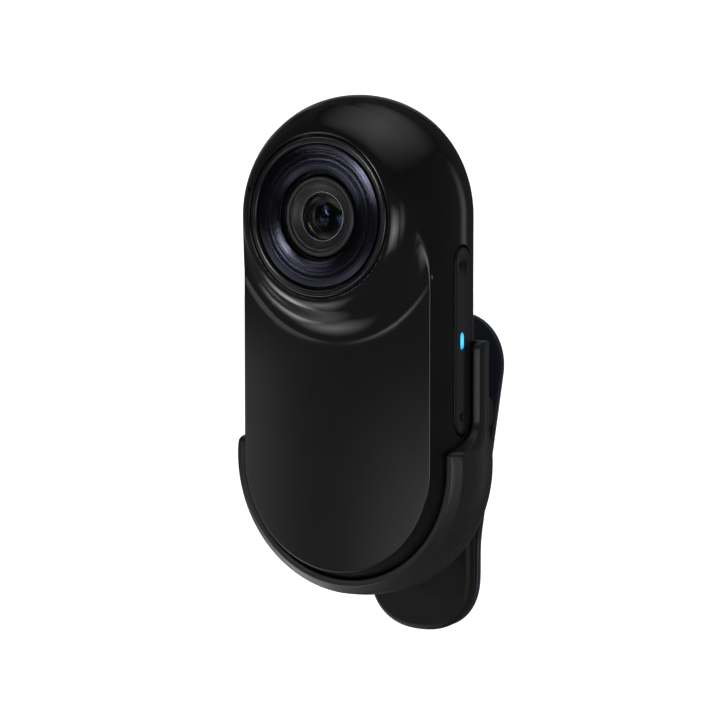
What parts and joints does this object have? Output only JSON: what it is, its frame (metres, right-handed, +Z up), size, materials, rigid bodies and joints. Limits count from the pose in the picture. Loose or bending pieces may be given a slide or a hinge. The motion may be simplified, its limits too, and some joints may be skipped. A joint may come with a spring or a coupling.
{
  "type": "action camera",
  "caption": "Thumb-size wearable action camera with a round lens head, in a snap-in cradle with a swivelling spring clip on its back.",
  "frame": {"origin": "grip point of the spring clip, midway between its closed jaws, 5 mm above their lower ends", "axes": "+Z up along the camera body, the lens looks towards -Y, the key bar is on the +X side"},
  "size_m": [0.0418, 0.0429, 0.0845],
  "materials": {
    "shell_plastic": "satin black moulding",
    "cradle_plastic": "fine-grained matte black moulding",
    "clip_plastic": "fine-grained black moulding",
    "lever_plastic": "smooth blue-black moulding",
    "bezel_gloss": "polished black",
    "trim_metal": "circular-brushed dark blue anodised",
    "ring_metal": "matte black anodised",
    "lens_glass": "coated glass",
    "steel": "plated",
    "rubber": "matte black",
    "board": "green solder mask",
    "chip": "moulded black",
    "cell_foil": "foil pouch",
    "status_blue": "lit blue",
    "copper": "copper foil",
    "inner_plastic": "grey moulding"
  },
  "bodies": {
    "clip": {"front_jaw": "clip_plastic", "grip_pad": "rubber", "hinge_pin": "steel", "torsion_spring": "steel"},
    "lever": {"clip_lever": "lever_plastic"},
    "cradle": {"cradle_shell": "cradle_plastic", "swivel_disc": "inner_plastic", "swivel_washer": "steel", "swivel_screw": "steel"},
    "camera": {"front_shell": "shell_plastic", "rear_cover": "shell_plastic", "shell_seal": "rubber", "housing_screw_1": "steel", "housing_screw_2": "steel", "housing_screw_3": "steel", "housing_screw_4": "steel", "lens_bezel": "bezel_gloss", "trim_ring": "trim_metal", "lens_front_ring": "ring_metal", "front_lens": "lens_glass", "lens_barrel": "bezel_gloss", "inner_lens": "lens_glass", "rear_lens": "lens_glass", "lens_holder": "inner_plastic", "infrared_filter": "lens_glass", "image_sensor": "chip", "sensor_board": "board", "sensor_ribbon": "copper", "main_board": "board", "processor_chip": "chip", "memory_chip": "chip", "heat_spreader": "copper", "battery_tray": "inner_plastic", "battery_cell": "cell_foil", "charging_socket": "steel", "buzzer": "chip", "microphone": "chip", "key_board": "board", "upper_switch": "steel", "lower_switch": "steel", "status_light": "status_blue", "light_pipe": "status_blue", "port_hinge_pin": "steel"},
    "key": {"key_bar": "shell_plastic"},
    "port_door": {"port_cover": "shell_plastic"}
  },
  "joints": [
    {"name": "clip_lever", "type": "hinge", "parent": "clip", "child": "lever", "pos_m": [0, 0.0029, 0.0296], "axis": [1, 0, 0], "range_deg": [0, 22], "stiffness_Nm_per_rad": 0.26, "springref_deg": -21.77, "deforming": ["torsion_spring"]},
    {"name": "clip_swivel", "type": "hinge", "parent": "clip", "child": "cradle", "pos_m": [0, -0.0116, 0.024], "axis": [0, 1, 0], "continuous": true},
    {"name": "camera_lift", "type": "slide", "parent": "cradle", "child": "camera", "axis": [0, 0, 1], "range_m": [0, 0.045]},
    {"name": "key_press", "type": "hinge", "parent": "camera", "child": "key", "pos_m": [0.01764, -0.0198, 0.0428], "axis": [0, 1, 0], "range_deg": [-1.1, 1.1], "stiffness_Nm_per_rad": 0.8},
    {"name": "port_cover", "type": "hinge", "parent": "camera", "child": "port_door", "pos_m": [-0.01759, -0.0198, 0.0453], "axis": [0, -1, 0], "range_deg": [0, 95]}
  ]
}
